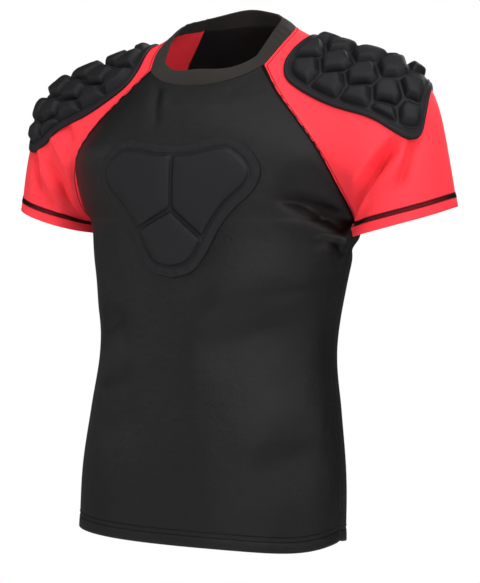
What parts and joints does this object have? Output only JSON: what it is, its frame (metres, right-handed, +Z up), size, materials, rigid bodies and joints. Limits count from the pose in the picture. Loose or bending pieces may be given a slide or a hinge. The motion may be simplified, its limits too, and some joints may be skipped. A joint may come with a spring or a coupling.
{
  "type": "rugby shoulder pads",
  "caption": "Short-sleeved stretch-knit rugby top with raised hexagonal foam cells on its shoulders and a flat foam chest pad, hollow as when worn.",
  "frame": {"origin": "where the wearer's shoulders carry the top: the middle of the neck, level with the sides of the collar seam", "axes": "+Z up, -Y the front of the top, +X the wearer's left"},
  "size_m": [0.6338, 0.2847, 0.6898],
  "materials": {
    "black_knit": "smooth black stretch knit with a soft sheen",
    "red_knit": "smooth bright red stretch knit with a soft sheen",
    "collar_knit": "doubled black stretch knit",
    "pad_knit": "matt black knit heat-formed over foam"
  },
  "bodies": {
    "root": {"front": "black_knit", "back": "black_knit", "sleeve_left": "red_knit", "sleeve_right": "red_knit", "collar": "collar_knit", "shoulder_pad_left": "pad_knit", "shoulder_pad_right": "pad_knit", "chest_pad": "pad_knit"}
  },
  "joints": []
}
